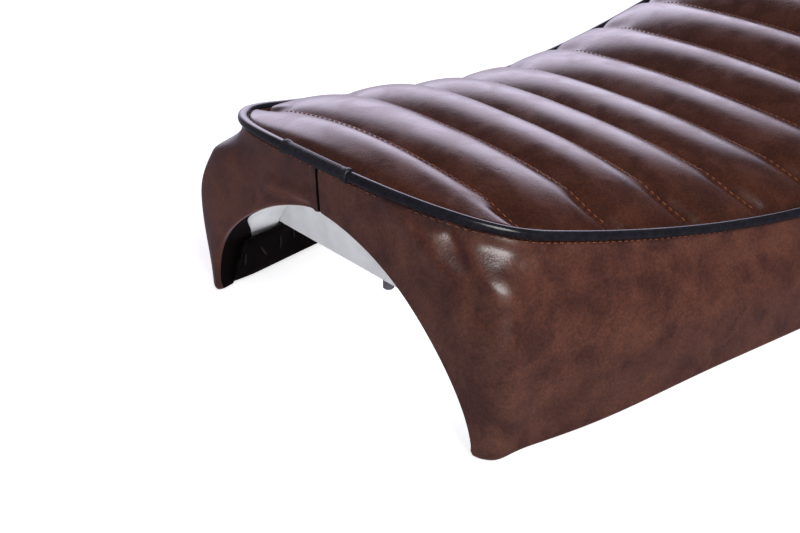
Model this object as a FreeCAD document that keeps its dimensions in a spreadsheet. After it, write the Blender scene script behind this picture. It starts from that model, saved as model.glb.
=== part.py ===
import FreeCAD, Part
import Sketcher
import math
import os
from FreeCAD import Vector

# Cafe racer seat: a moulded pan, a foam pad, a channel-quilted top and two long side panels joined by a welt.
# Millimetres. +X points to the nose, +Y to the rider's left, +Z up. The seat stands on its hem at z = 0,
# and the origin is the middle of its footprint.

doc = FreeCAD.newDocument("cafe_racer_seat")

SIZES = {
    # Plan of the hem and of the welt above it
    "seat_length": 625.0,
    "nose_half_width": 103.4,
    "rear_half_width": 136.0,
    "widest_at": 440.0,
    "hem_setback": 3.6,
    "hem_corner_depth": 31.0,
    "hem_corner_power": 7.7,
    "tail_depth": 120.0,
    "tail_power": 2.5,
    "welt_inset": 9.3,
    "welt_nose_depth": 46.0,
    "welt_nose_power": 2.15,
    # Height of the welt from nose to tail
    "welt_nose_height": 111.5,
    "welt_low_height": 61.5,
    "welt_low_at": 241.0,
    "welt_tail_height": 111.0,
    "nose_fall_power": 1.6,
    # Section of the skirt between hem and welt
    "side_bulge": 4.0,
    "corner_bulge": 8.5,
    "corner_fade": 60.0,
    "nose_bulge": 1.4,
    # Front arch and moulded pan
    "arch_height": 86.6,
    "arch_half_width": 97.0,
    "arch_power_across": 1.6,
    "arch_power_up": 2.0,
    "leather_thickness": 1.5,
    "fit_gap": 0.25,
    "pan_wall": 2.5,
    "hem_turn": 22.0,
    "floor_height": 34.0,
    "bulkhead_depth": 38.4,
    # Quilted top
    "crown_axis_depth": 280.0,
    "seam_allowance": 1.25,
    "roll_height": 8.0,
    "first_stitch": 37.5,
    "stitch_pitch": 45.0,
    "stitch_count": 13,
    # Welt and the sleeve over its joint
    "welt_radius": 2.5,
    "sleeve_length": 47.0,
    "sleeve_wall": 1.2,
    # Mounting studs
    "stud_radius": 3.0,
    "stud_neck_radius": 2.8,
    "stud_reach": 25.0,
    "stud_tip": 0.8,
    "stud_front_at": 64.0,
    "stud_spacing_along": 340.0,
    "stud_spacing_across": 60.0,
    "stud_head_radius": 9.0,
    "stud_head_height": 2.5,
    "hole_clearance": 0.25,
    "washer_radius": 9.0,
    "washer_thickness": 1.6,
    "nut_flats": 10.0,
    "nut_height": 5.0,
}

sheet = doc.addObject("Spreadsheet::Sheet", "sizes")
for row, (alias, value) in enumerate(SIZES.items(), start=1):
    sheet.set(f"A{row}", alias)
    sheet.set(f"B{row}", str(value))
    sheet.setAlias(f"B{row}", alias)
doc.recompute()


def size(alias):
    return float(sheet.get(alias))


# Reference stations along the seat
welt_nose_x = size("seat_length") / 2 - size("welt_radius")
hem_nose_x = welt_nose_x - size("hem_setback")
hem_tail_x = -size("seat_length") / 2
welt_tail_x = hem_tail_x + size("welt_inset")
low_x = welt_nose_x - size("welt_low_at")
bulkhead_x = hem_nose_x - size("bulkhead_depth")
floor_top = size("floor_height") + size("pan_wall")

# Layers from the leather's outer face inwards
gap = size("fit_gap")
leather_inner = size("leather_thickness")
pan_outer = leather_inner + gap
pan_inner = pan_outer + size("pan_wall")
hem_outer = pan_inner + gap
hem_inner = hem_outer + size("leather_thickness")

# How finely the curves are stepped, and room for cutting tools past the model
NOSE_STEPS = 8
FLANK_STEPS = 4
TAIL_STEPS = 5
ARCH_STEPS = 6
SPINE_STEPS = 12
SLEEVE_STEPS = 4
CORD_SIDES = 8
SKIRT_LEVELS = (0.0, 0.48, 0.8, 1.0)
ROLL_STEPS = 6
MARGIN = 25.0
SKY = size("welt_nose_height") + size("welt_tail_height")


def squared_round(step, power):
    """Point of a quarter superellipse with unit half axes, step 0 at its front and 1 at its side."""
    angle = step * math.pi / 2
    along, across = math.cos(angle), math.sin(angle)
    reach = (along ** power + across ** power) ** (-1 / power)
    return along * reach, across * reach


def hem_half_width(x):
    """Half width of the hem's flank: it widens from the nose and levels off at the widest place."""
    left = max(0.0, 1 - (hem_nose_x - x) / size("widest_at"))
    return size("rear_half_width") - (size("rear_half_width") - size("nose_half_width")) * left * left


def half_plan(nose_x, nose_depth, nose_power, tail_x, inset):
    """Left half of a plan outline from nose centre to tail centre: rounded nose, flank, rounded tail."""
    flank_start = nose_x - nose_depth
    flank_end = tail_x + size("tail_depth")
    plan = []
    for i in range(NOSE_STEPS):
        along, across = squared_round(i / NOSE_STEPS, nose_power)
        plan.append((flank_start + nose_depth * along, (hem_half_width(flank_start) - inset) * across))
    for i in range(FLANK_STEPS):
        x = flank_start + (flank_end - flank_start) * i / FLANK_STEPS
        plan.append((x, hem_half_width(x) - inset))
    for i in range(TAIL_STEPS + 1):
        along, across = squared_round(1 - i / TAIL_STEPS, size("tail_power"))
        plan.append((flank_end - size("tail_depth") * along, (hem_half_width(flank_end) - inset) * across))
    return plan


def whole_plan(half):
    """Closed outline: the left half, then its mirror image back to the nose."""
    return half + [(x, -y) for x, y in reversed(half[1:-1])]


def outward(plan):
    """Unit normals of a closed plan outline, pointing out of it."""
    normals = []
    for i in range(len(plan)):
        (xa, ya), (xb, yb) = plan[i - 1], plan[(i + 1) % len(plan)]
        length = math.hypot(xb - xa, yb - ya)
        normals.append(((yb - ya) / length, (xa - xb) / length))
    return normals


hem_plan = whole_plan(half_plan(
    hem_nose_x, size("hem_corner_depth"), size("hem_corner_power"), hem_tail_x, 0.0))
welt_plan = whole_plan(half_plan(
    welt_nose_x, size("welt_nose_depth"), size("welt_nose_power"), welt_tail_x, size("welt_inset")))


def welt_height(x):
    """Height of the welt: it falls from the nose to the low point of the saddle and swells up to the tail."""
    if x > low_x:
        rise = ((x - low_x) / (welt_nose_x - low_x)) ** size("nose_fall_power")
        return size("welt_low_height") + (size("welt_nose_height") - size("welt_low_height")) * rise
    turn = math.pi * min(1.0, (low_x - x) / (low_x - welt_tail_x))
    return size("welt_low_height") + (size("welt_tail_height") - size("welt_low_height")) * (1 - math.cos(turn)) / 2


def skirt_plan(level):
    """Plan outline of the skirt at a level from 0, the hem, to 1, the welt.

    The hip leads from the hem's outline in to the welt's, upright at both ends, and a bulge that is
    fullest halfway up stands out along the hem's normal.
    """
    hip = 6 * level ** 5 - 5 * level ** 6
    swell = 16 * level ** 2 * (1 - level) ** 2
    plan = []
    for (hx, hy), (wx, wy), (nx, ny) in zip(hem_plan, welt_plan, outward(hem_plan)):
        fade = math.exp(-max(0.0, hem_nose_x - hx) / size("corner_fade"))
        side = size("side_bulge") + (size("corner_bulge") - size("side_bulge")) * fade
        bulge = (side + (size("nose_bulge") - side) * max(0.0, nx)) * swell
        plan.append((hx + (wx - hx) * hip + nx * bulge, hy + (wy - hy) * hip + ny * bulge))
    return plan


def inset_plan(plan, inset):
    return [(x - nx * inset, y - ny * inset) for (x, y), (nx, ny) in zip(plan, outward(plan))]


LEFT_COUNT = len(hem_plan) // 2 + 1
MIDDLE_PLANE = (Vector(0, 0, 0), Vector(0, 1, 0))


def plan_parameters():
    """Spline parameters shared by every left outline, from the steps of the hem's and the welt's outlines."""
    parameters = [0.0]
    for i in range(LEFT_COUNT - 1):
        hem_step = math.dist(hem_plan[i], hem_plan[i + 1])
        welt_step = math.dist(welt_plan[i], welt_plan[i + 1])
        parameters.append(parameters[-1] + (hem_step + welt_step) / 2)
    return parameters


PARAMETERS = plan_parameters()


def spline(points, parameters):
    curve = Part.BSplineCurve()
    curve.interpolate(Points=points, Parameters=parameters)
    return curve


def ruled(low_row, high_row, parameters):
    """Face ruled between two splines."""
    low, high = spline(low_row, parameters), spline(high_row, parameters)
    return Part.makeRuledSurface(low.toShape(), high.toShape())


def solid_of(faces):
    shell = Part.makeShell(faces)
    shell.sewShape()
    solid = Part.Solid(Part.Shell(shell.Faces))
    if solid.Volume < 0:
        solid.reverse()
    return solid


def left_row(plan, heights):
    """The left half of a closed outline as points, with both ends on the middle plane."""
    row = [Vector(x, y, z) for (x, y), z in zip(plan, heights)][:LEFT_COUNT]
    row[0].y = 0.0
    row[-1].y = 0.0
    return row


def tub(inset):
    """Solid inside the skirt, an inset behind its outer face, run on upright below the hem and above the welt."""
    welt_heights = [welt_height(x) for x, y in welt_plan]
    rows = []
    for level in SKIRT_LEVELS:
        plan = inset_plan(skirt_plan(level), inset)
        rows.append(left_row(plan, [h * level for h in welt_heights]))
    rows.insert(0, [Vector(p.x, p.y, -MARGIN) for p in rows[0]])
    rows.append([Vector(p.x, p.y, SKY) for p in rows[-1]])
    faces = []
    for low_row, high_row in zip(rows, rows[1:]):
        left = ruled(low_row, high_row, PARAMETERS)
        faces += [left, left.mirror(*MIDDLE_PLANE)]
    for row in (rows[0], rows[-1]):
        edge = spline(row, PARAMETERS).toShape()
        faces.append(Part.Face(Part.Wire([edge, edge.mirror(*MIDDLE_PLANE)])))
    return solid_of(faces)


WIDE = size("rear_half_width") + size("corner_bulge") + size("side_bulge") + MARGIN
LONG = size("seat_length") / 2 + MARGIN


def slab(z_low, z_high, x_low=-LONG, x_high=LONG, y_low=-WIDE):
    """Box across the seat between two heights, and if asked between two stations or on the left only."""
    return Part.makeBox(x_high - x_low, WIDE - y_low, z_high - z_low, Vector(x_low, y_low, z_low))


def arch_prism(growth, x_low):
    """Front arch, grown outwards by a layer's depth, as a prism from a station out past the nose."""
    half_width = size("arch_half_width") + growth
    height = size("arch_height") + growth
    points = []
    for i in range(-ARCH_STEPS, ARCH_STEPS + 1):
        across = math.sin(i / ARCH_STEPS * math.pi / 2)
        up = (1 - abs(across) ** size("arch_power_across")) ** (1 / size("arch_power_up"))
        points.append(Vector(x_low, across * half_width, up * height))
    curve = Part.BSplineCurve()
    curve.interpolate(points)
    below = [points[-1], points[-1] - Vector(0, 0, MARGIN), points[0] - Vector(0, 0, MARGIN), points[0]]
    edges = [curve.toShape()] + [Part.makeLine(a, b) for a, b in zip(below, below[1:])]
    return Part.Face(Part.Wire(edges)).extrude(Vector(LONG - x_low, 0, 0))


def welt_half_width(x):
    """Half width inside the welt's outline at a station."""
    nose_start = welt_nose_x - size("welt_nose_depth")
    tail_start = welt_tail_x + size("tail_depth")
    base = min(nose_start, max(tail_start, x))
    depth, power = size("tail_depth"), size("tail_power")
    if x > nose_start:
        depth, power = size("welt_nose_depth"), size("welt_nose_power")
    left = max(0.0, 1 - (abs(x - base) / depth) ** power)
    return (hem_half_width(base) - size("welt_inset")) * left ** (1 / power)


def spine_point(x, rise):
    """Point over the seat's middle whose crown, turned about the crown axis, meets the welt's line plus a rise."""
    radius = math.hypot(welt_height(x) + rise + size("crown_axis_depth"), welt_half_width(x))
    return Vector(x, 0, radius - size("crown_axis_depth"))


def stitch_stations():
    """Nose, stitch lines and tail of the quilted top."""
    stitches = [welt_nose_x - size("first_stitch") - i * size("stitch_pitch")
                for i in range(int(size("stitch_count")))]
    inside = [x for x in stitches if x > welt_tail_x + size("first_stitch") / 2]
    return [welt_nose_x] + inside + [welt_tail_x]


def crowned(profile, points):
    """Solid of a profile along the spine, closed below at the floor and turned about the crown axis."""
    feet = [points[-1], Vector(points[-1].x, 0, floor_top), Vector(points[0].x, 0, floor_top), points[0]]
    edges = profile + [Part.makeLine(a, b) for a, b in zip(feet, feet[1:])]
    axis = Vector(0, 0, -size("crown_axis_depth"))
    lowest = size("crown_axis_depth") + size("welt_low_height")
    spread = math.degrees(math.asin(min(0.9, WIDE / lowest)))
    face = Part.Face(Part.Wire(edges))
    face.rotate(axis, Vector(1, 0, 0), -spread)
    return face.revolve(axis, Vector(1, 0, 0), 2 * spread)


def foam_form(lift):
    """Solid below the foam's top, which lies just under the welt, lifted by a little."""
    points = [spine_point(x, -size("welt_radius") - gap) + Vector(0, 0, lift) for x in stitch_stations()]
    return crowned([Part.makeLine(a, b) for a, b in zip(points, points[1:])], points)


def rolls_form():
    """Solid below the quilted top: a round roll between each stitch line and the next."""
    points = [spine_point(x, size("seam_allowance")) for x in stitch_stations()]
    profile = []
    for a, b in zip(points, points[1:]):
        height = size("roll_height") * min(1.0, ((a.x - b.x) / size("stitch_pitch")) ** 2)
        roll = Part.Arc(a, (a + b) / 2 + Vector(0, 0, height), b).toShape()
        steps = roll.discretize(Number=ROLL_STEPS + 1)
        profile += [Part.makeLine(p, q) for p, q in zip(steps, steps[1:])]
    return crowned(profile, points)


def cord(path, normals, radius):
    """Cord of a radius along a path, with flat sides round its section and flat ends."""
    steps = [0.0]
    for a, b in zip(path, path[1:]):
        steps.append(steps[-1] + a.distanceToPoint(b))
    rows = []
    for i in range(CORD_SIDES + 1):
        turn = 2 * math.pi * (i + 0.5) / CORD_SIDES
        out, up = radius * math.cos(turn), radius * math.sin(turn)
        rows.append([p + n * out + Vector(0, 0, up) for p, n in zip(path, normals)])
    faces = [ruled(low_row, high_row, steps) for low_row, high_row in zip(rows, rows[1:])]
    for i in (0, -1):
        faces.append(Part.Face(Part.makePolygon([row[i] for row in rows])))
    return solid_of(faces)


def nose_path(half_length, steps):
    """Stretch of the welt's line round the middle of the nose, with its outward normals."""
    power = size("welt_nose_power")
    nose_start = welt_nose_x - size("welt_nose_depth")
    half_width = hem_half_width(nose_start) - size("welt_inset")
    path, normals = [], []
    for i in range(steps + 1):
        y = half_length * (2 * i / steps - 1)
        share = abs(y) / half_width
        x = nose_start + size("welt_nose_depth") * (1 - share ** power) ** (1 / power)
        path.append(Vector(x, y, welt_height(x)))
        across = math.copysign(share ** (power - 1) / half_width, y)
        along = ((x - nose_start) / size("welt_nose_depth")) ** (power - 1) / size("welt_nose_depth")
        normals.append(Vector(along, across, 0).normalize())
    return path, normals


def welt_cord(radius):
    """Cord round the top's edge, with its two ends butted at the middle of the nose."""
    row = left_row(welt_plan, [welt_height(x) for x, y in welt_plan])
    row[0].y = gap
    normals = [Vector(nx, ny, 0) for nx, ny in outward(welt_plan)[:LEFT_COUNT]]
    path = row + [Vector(p.x, -p.y, p.z) for p in reversed(row[:-1])]
    normals = normals + [Vector(n.x, -n.y, 0) for n in reversed(normals[:-1])]
    return cord(path, normals, radius)


# Forms shared by the pieces
skin_outer = tub(0.0)
skin_inner = tub(leather_inner)
pan_outside = tub(pan_outer)
pan_inside = tub(pan_inner)
turn_outside = tub(hem_outer)
turn_inside = tub(hem_inner)
foam_under = foam_form(0.0)
welt_room = welt_cord(size("welt_radius") + gap)
sleeve_bore = size("welt_radius") + gap
sleeve_outside = sleeve_bore + size("sleeve_wall")
sleeve_room = cord(*nose_path(size("sleeve_length") / 2 + gap, SLEEVE_STEPS), sleeve_outside + gap)
stud_front_x = hem_nose_x - size("stud_front_at")
stud_places = [(stud_front_x - i * size("stud_spacing_along"), side * size("stud_spacing_across") / 2)
               for i in (0, 1) for side in (1, -1)]


def seat_pan():
    """Moulded pan: side walls behind the leather, a floor, and at the nose a vault closed by a bulkhead."""
    wall = pan_outside.cut(pan_inside).common(slab(leather_inner + gap, floor_top))
    floor = pan_outside.common(slab(size("floor_height"), floor_top, x_high=bulkhead_x))
    lining = leather_inner + gap
    vault = arch_prism(lining + size("pan_wall"), bulkhead_x - size("pan_wall"))
    vault = vault.common(pan_outside).common(slab(size("hem_turn") + gap, SKY))
    pan = wall.fuse([floor, vault])
    pan = pan.cut(arch_prism(lining, bulkhead_x))
    pan = pan.cut(pan_inside.common(slab(-MARGIN, size("floor_height"), x_high=bulkhead_x)))
    for x, y in stud_places:
        pan = pan.cut(Part.makeCylinder(
            size("stud_radius") + size("hole_clearance"), SKY, Vector(x, y, 0)))
    return pan


def foam_pad():
    """Foam between the pan and the quilted top, with room for the heads of the studs."""
    foam = pan_outside.common(slab(floor_top + gap, SKY)).common(foam_under)
    foam = foam.cut(arch_prism(leather_inner + 2 * gap + size("pan_wall"), bulkhead_x - size("pan_wall") - gap))
    for x, y in stud_places:
        foam = foam.cut(Part.makeCylinder(
            size("stud_head_radius") + gap, floor_top + size("stud_head_height") + 2 * gap, Vector(x, y, 0)))
    return foam.cut(sleeve_room).cut(welt_room)


def top_panel():
    """Quilted top: full round rolls across the seat between stitch lines, ending beside the welt."""
    rim = inset_plan(welt_plan, size("welt_radius") + gap)
    edge = spline(left_row(rim, [0.0] * len(rim)), PARAMETERS).toShape()
    outline = Part.Face(Part.Wire([edge, edge.mirror(*MIDDLE_PLANE)])).extrude(Vector(0, 0, SKY))
    return rolls_form().common(outline).cut(foam_form(gap)).cut(sleeve_room)


def side_panel():
    """Left side panel: it hangs from the welt, turns under the pan's edge and lines the front arch."""
    points = []
    for i in range(SPINE_STEPS + 1):
        x = LONG - 2 * LONG * i / SPINE_STEPS
        points.append(Vector(x, 0, welt_height(min(x, welt_nose_x)) - size("welt_radius") - gap))
    seam = Part.BSplineCurve()
    seam.interpolate(points)
    feet = [points[-1], Vector(-LONG, 0, 0), Vector(LONG, 0, 0), points[0]]
    edges = [seam.toShape()] + [Part.makeLine(a, b) for a, b in zip(feet, feet[1:])]
    below_seam = Part.Face(Part.Wire(edges)).extrude(Vector(0, WIDE, 0))
    outer = skin_outer.common(slab(0, SKY, y_low=gap / 2))
    hanging = outer.common(below_seam).cut(skin_inner)
    under_turn = outer.common(slab(0, leather_inner)).cut(turn_inside)
    inner_turn = turn_outside.common(slab(0, size("hem_turn"), y_low=gap / 2)).cut(turn_inside)
    panel = hanging.fuse([under_turn, inner_turn])
    panel = panel.cut(arch_prism(leather_inner, bulkhead_x))
    lining = arch_prism(leather_inner, hem_nose_x - size("hem_turn")).cut(arch_prism(0.0, bulkhead_x))
    panel = panel.fuse(lining.common(outer))
    return panel.cut(sleeve_room).cut(welt_room)


def welt_sleeve():
    """Sleeve drawn over the welt's joint."""
    outside = cord(*nose_path(size("sleeve_length") / 2, SLEEVE_STEPS), sleeve_outside)
    return outside.cut(cord(*nose_path(size("sleeve_length") / 2 + 2 * gap, SLEEVE_STEPS), sleeve_bore))


def origin_plane(body, role):
    return next(f for f in body.Origin.OriginFeatures if f.Role == role)


def fastener_body(name, height):
    """Body for one kind of fastener, whose first copy stands at the left front stud."""
    body = doc.addObject("PartDesign::Body", name)
    body.Label = name
    body.AllowCompound = True
    front = "sizes.seat_length / 2 - sizes.welt_radius - sizes.hem_setback - sizes.stud_front_at"
    body.setExpression("Placement.Base.x", front)
    body.setExpression("Placement.Base.y", "sizes.stud_spacing_across / 2")
    body.setExpression("Placement.Base.z", height)
    return body


def repeat_at_studs(body, feature):
    """Repeat a fastener along and across the pan, at the four studs."""
    pattern = body.newObject("PartDesign::MultiTransform", body.Name + "_at_studs")
    steps = []
    for role, spacing in (("X_Axis", "along"), ("Y_Axis", "across")):
        step = body.newObject("PartDesign::LinearPattern", f"{body.Name}_{spacing}")
        step.Direction = (origin_plane(body, role), [""])
        step.Reversed = True
        step.setExpression("Length", f"sizes.stud_spacing_{spacing}")
        step.Occurrences = 2
        steps.append(step)
    pattern.Originals = [feature]
    pattern.Transformations = steps
    body.Tip = pattern
    doc.recompute()


def sketch_on(body, role, name):
    sketch = body.newObject("Sketcher::SketchObject", name)
    sketch.AttachmentSupport = [(origin_plane(body, role), "")]
    sketch.MapMode = "FlatFace"
    return sketch


def bind(sketch, kind, places, expression):
    """Add a distance or radius to a sketch and tie it to the sheet."""
    index = sketch.addConstraint(Sketcher.Constraint(kind, *places, 1.0))
    sketch.setExpression(f"Constraints[{index}]", expression)


def mounting_studs():
    """Studs with a broad round head on the pan's floor, a neck through it and a threaded end below the nut."""
    body = fastener_body("mounting_studs", "sizes.floor_height + sizes.pan_wall")
    sketch = sketch_on(body, "XZ_Plane", "stud_profile")
    corners = [(0, 2), (9, 2), (9, 0), (2.5, 0), (2.5, -9), (3, -9), (3, -25), (2, -26), (0, -26)]
    for (xa, ya), (xb, yb) in zip(corners, corners[1:] + corners[:1]):
        sketch.addGeometry(Part.LineSegment(Vector(xa, ya, 0), Vector(xb, yb, 0)))
    count = len(corners)
    for i in range(count):
        sketch.addConstraint(Sketcher.Constraint("Coincident", i, 2, (i + 1) % count, 1))
    for i in (0, 2, 4, 7):
        sketch.addConstraint(Sketcher.Constraint("Horizontal", i))
    for i in (1, 3, 5):
        sketch.addConstraint(Sketcher.Constraint("Vertical", i))
    across_axis, up_axis = -1, -2
    sketch.addConstraint(Sketcher.Constraint("PointOnObject", 0, 1, up_axis))
    sketch.addConstraint(Sketcher.Constraint("PointOnObject", 8, 1, up_axis))
    sketch.addConstraint(Sketcher.Constraint("PointOnObject", 2, 1, across_axis))
    clamped = "sizes.pan_wall + sizes.washer_thickness + sizes.nut_height + 2 * sizes.fit_gap"
    bind(sketch, "DistanceY", (-1, 1, 0, 1), "sizes.stud_head_height")
    bind(sketch, "DistanceX", (-1, 1, 0, 2), "sizes.stud_head_radius")
    bind(sketch, "DistanceX", (-1, 1, 2, 2), "sizes.stud_neck_radius")
    bind(sketch, "DistanceY", (4, 1, -1, 1), clamped)
    bind(sketch, "DistanceX", (-1, 1, 4, 2), "sizes.stud_radius")
    bind(sketch, "DistanceY", (8, 1, -1, 1), "sizes.stud_reach + sizes.pan_wall")
    bind(sketch, "DistanceX", (8, 1, 7, 1), "sizes.stud_radius - sizes.stud_tip")
    bind(sketch, "DistanceY", (7, 1, 6, 1), "sizes.stud_tip")
    turned = body.newObject("PartDesign::Revolution", "stud_turned")
    turned.Profile = sketch
    turned.ReferenceAxis = (sketch, ["V_Axis"])
    turned.Angle = 360
    sketch.Visibility = False
    doc.recompute()
    repeat_at_studs(body, turned)
    return body


def stud_washers():
    """Broad washers under the pan's floor."""
    body = fastener_body("stud_washers", "sizes.floor_height - sizes.washer_thickness")
    sketch = sketch_on(body, "XY_Plane", "washer_outline")
    for radius, expression in ((9, "sizes.washer_radius"), (4, "sizes.stud_radius + sizes.hole_clearance")):
        ring = sketch.addGeometry(Part.Circle(Vector(0, 0, 0), Vector(0, 0, 1), radius))
        sketch.addConstraint(Sketcher.Constraint("Coincident", ring, 3, -1, 1))
        bind(sketch, "Radius", (ring,), expression)
    pad = body.newObject("PartDesign::Pad", "washer_pad")
    pad.Profile = sketch
    pad.setExpression("Length", "sizes.washer_thickness")
    doc.recompute()
    repeat_at_studs(body, pad)
    return body


def stud_nuts():
    """Hexagon nuts that clamp the studs to the pan's floor."""
    body = fastener_body("stud_nuts", "sizes.floor_height - sizes.washer_thickness - sizes.nut_height")
    sketch = sketch_on(body, "XY_Plane", "nut_outline")
    corners = [Vector(6 * math.cos(i * math.pi / 3), 6 * math.sin(i * math.pi / 3), 0) for i in range(6)]
    for a, b in zip(corners, corners[1:] + corners[:1]):
        sketch.addGeometry(Part.LineSegment(a, b))
    for i in range(6):
        sketch.addConstraint(Sketcher.Constraint("Coincident", i, 2, (i + 1) % 6, 1))
    around = sketch.addGeometry(Part.Circle(Vector(0, 0, 0), Vector(0, 0, 1), 6), True)
    sketch.addConstraint(Sketcher.Constraint("Coincident", around, 3, -1, 1))
    for i in range(6):
        sketch.addConstraint(Sketcher.Constraint("PointOnObject", i, 1, around))
    for i in range(5):
        sketch.addConstraint(Sketcher.Constraint("Equal", i, i + 1))
    sketch.addConstraint(Sketcher.Constraint("PointOnObject", 0, 1, -1))
    bind(sketch, "Radius", (around,), "sizes.nut_flats / sqrt(3)")
    bore = sketch.addGeometry(Part.Circle(Vector(0, 0, 0), Vector(0, 0, 1), 3))
    sketch.addConstraint(Sketcher.Constraint("Coincident", bore, 3, -1, 1))
    bind(sketch, "Radius", (bore,), "sizes.stud_radius + sizes.hole_clearance")
    pad = body.newObject("PartDesign::Pad", "nut_pad")
    pad.Profile = sketch
    pad.setExpression("Length", "sizes.nut_height")
    doc.recompute()
    repeat_at_studs(body, pad)
    return body


def formed_piece(name, shape):
    """Sub-part whose free form is worked out above."""
    piece = doc.addObject("Part::Feature", name)
    piece.Label = name
    piece.Shape = shape.Solids[0] if len(shape.Solids) == 1 else shape
    piece.Placement = FreeCAD.Placement()
    return piece


left_panel = side_panel()
pieces = [
    formed_piece("seat_pan", seat_pan()),
    formed_piece("foam_pad", foam_pad()),
    formed_piece("top_panel", top_panel()),
    formed_piece("side_panel_left", left_panel),
    formed_piece("side_panel_right", left_panel.mirror(*MIDDLE_PLANE)),
    formed_piece("welt", welt_cord(size("welt_radius"))),
    formed_piece("welt_sleeve", welt_sleeve()),
    mounting_studs(),
    stud_washers(),
    stud_nuts(),
]
doc.recompute()

for item in doc.Objects:
    if "Invalid" in item.State or "Error" in item.State:
        raise RuntimeError(f"{item.Label} failed to build: {item.State}")
for piece in pieces:
    if piece.Shape.isNull() or not piece.Shape.isValid() or not piece.Shape.Solids:
        raise RuntimeError(f"{piece.Label} has no valid solid")

os.makedirs("parts", exist_ok=True)
for piece in pieces:
    piece.Shape.exportStep(f"parts/{piece.Label}.step")
    print(piece.Label, len(piece.Shape.Solids), round(piece.Shape.Volume))
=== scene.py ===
import math
import bpy
import numpy as np
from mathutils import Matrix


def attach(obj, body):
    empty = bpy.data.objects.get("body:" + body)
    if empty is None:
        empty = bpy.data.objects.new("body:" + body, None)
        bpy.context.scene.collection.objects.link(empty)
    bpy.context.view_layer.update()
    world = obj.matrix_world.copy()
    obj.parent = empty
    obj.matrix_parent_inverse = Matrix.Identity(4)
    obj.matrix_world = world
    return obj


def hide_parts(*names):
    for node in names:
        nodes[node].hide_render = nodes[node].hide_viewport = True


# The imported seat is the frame. Sizes below are in millimetres in the seat's own axes:
# +X to the nose, +Y to the rider's left, +Z up, with the hem at z = 0.
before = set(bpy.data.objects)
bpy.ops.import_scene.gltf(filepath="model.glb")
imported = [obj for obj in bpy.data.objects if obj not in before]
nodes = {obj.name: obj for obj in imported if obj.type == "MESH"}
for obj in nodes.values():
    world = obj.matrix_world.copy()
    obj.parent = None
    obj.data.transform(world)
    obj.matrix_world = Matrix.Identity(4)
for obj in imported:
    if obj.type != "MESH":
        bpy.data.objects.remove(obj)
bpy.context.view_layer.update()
MM = 0.001


def finish(name, dark, pale, roughness, scale, relief=0.1, metallic=0.0):
    """Principled material whose colour and roughness drift between two tones, with a slight relief."""
    made = bpy.data.materials.new(name)
    made.use_nodes = True
    tree = made.node_tree
    link = tree.links.new
    shader = tree.nodes["Principled BSDF"]
    shader.inputs["Metallic"].default_value = metallic
    place = tree.nodes.new("ShaderNodeTexCoord")
    drift = tree.nodes.new("ShaderNodeTexNoise")
    drift.inputs["Scale"].default_value = scale
    drift.inputs["Detail"].default_value = 5.0
    tones = tree.nodes.new("ShaderNodeValToRGB")
    tones.color_ramp.elements[0].position = 0.35
    tones.color_ramp.elements[0].color = (*dark, 1)
    tones.color_ramp.elements[1].position = 0.65
    tones.color_ramp.elements[1].color = (*pale, 1)
    wear = tree.nodes.new("ShaderNodeMapRange")
    wear.inputs["To Min"].default_value = roughness - 0.08
    wear.inputs["To Max"].default_value = roughness + 0.08
    bump = tree.nodes.new("ShaderNodeBump")
    bump.inputs["Strength"].default_value = relief
    bump.inputs["Distance"].default_value = 0.0005
    link(place.outputs["Object"], drift.inputs["Vector"])
    link(drift.outputs["Fac"], tones.inputs["Fac"])
    link(drift.outputs["Fac"], wear.inputs["Value"])
    link(drift.outputs["Fac"], bump.inputs["Height"])
    link(tones.outputs["Color"], shader.inputs["Base Color"])
    link(wear.outputs["Result"], shader.inputs["Roughness"])
    link(bump.outputs["Normal"], shader.inputs["Normal"])
    return made


def dress(node, made):
    """Give a CAD node its finish."""
    nodes[node].data.materials.clear()
    nodes[node].data.materials.append(made)


# Seat pan
# A thin moulded shell with a floor and a vault at the nose. It is bare pale grey plastic,
# and shows only inside the front arch and from below.
pan_plastic = finish("pan_plastic", (0.66, 0.67, 0.69), (0.76, 0.77, 0.79), 0.5, 90.0)
dress("seat_pan", pan_plastic)

# Mounting studs with their washers and nuts
# Four M6 studs of bright zinc-plated steel, each held in the pan's floor by a washer and a nut.
# Their ends hang free below for the tabs of a frame, and a front one shows under the nose.
zinc = finish("zinc", (0.60, 0.60, 0.58), (0.80, 0.80, 0.77), 0.30, 400.0, metallic=1.0)
for node in ("mounting_studs", "stud_washers", "stud_nuts"):
    dress(node, zinc)

# Side panels
# Two long pieces of waxed leather joined at the middle of the nose. Each hangs from the welt, bellies
# out a little, turns under the pan's edge and is stapled inside; at the nose it lines the arch.
SEAT_LENGTH = 625.0
NOSE_HALF_WIDTH = 103.4
REAR_HALF_WIDTH = 136.0
WIDEST_AT = 440.0
HEM_SETBACK = 3.6
HEM_CORNER_DEPTH = 31.0
HEM_CORNER_POWER = 7.7
TAIL_DEPTH = 120.0
TAIL_POWER = 2.5
WELT_INSET = 9.3
WELT_RADIUS = 2.5
WELT_NOSE_DEPTH = 46.0
WELT_NOSE_POWER = 2.15
WELT_NOSE_HEIGHT = 111.5
WELT_LOW_HEIGHT = 61.5
WELT_LOW_AT = 241.0
WELT_TAIL_HEIGHT = 111.0
NOSE_FALL_POWER = 1.6
SIDE_BULGE = 4.0
CORNER_BULGE = 8.5
CORNER_FADE = 60.0
NOSE_BULGE = 1.4
ARCH_HEIGHT = 86.6
ARCH_HALF_WIDTH = 99.5
HEM_ROUND = 3.0
ARCH_ROUND = 1.8
HEM_TURN = 29.0
TURN_INSET = 3.5
NOSE_LEAN = 11.0
HEM_FLARE = 5.4
HEM_FLARE_RUN = 165.0
HEM_FLARE_REACH = 55.0
CORNER_RUN = 105.6
NECK_REACH = 42.0
ARCH_LINING = 16.0
GATHER_PITCH = 13.0
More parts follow.
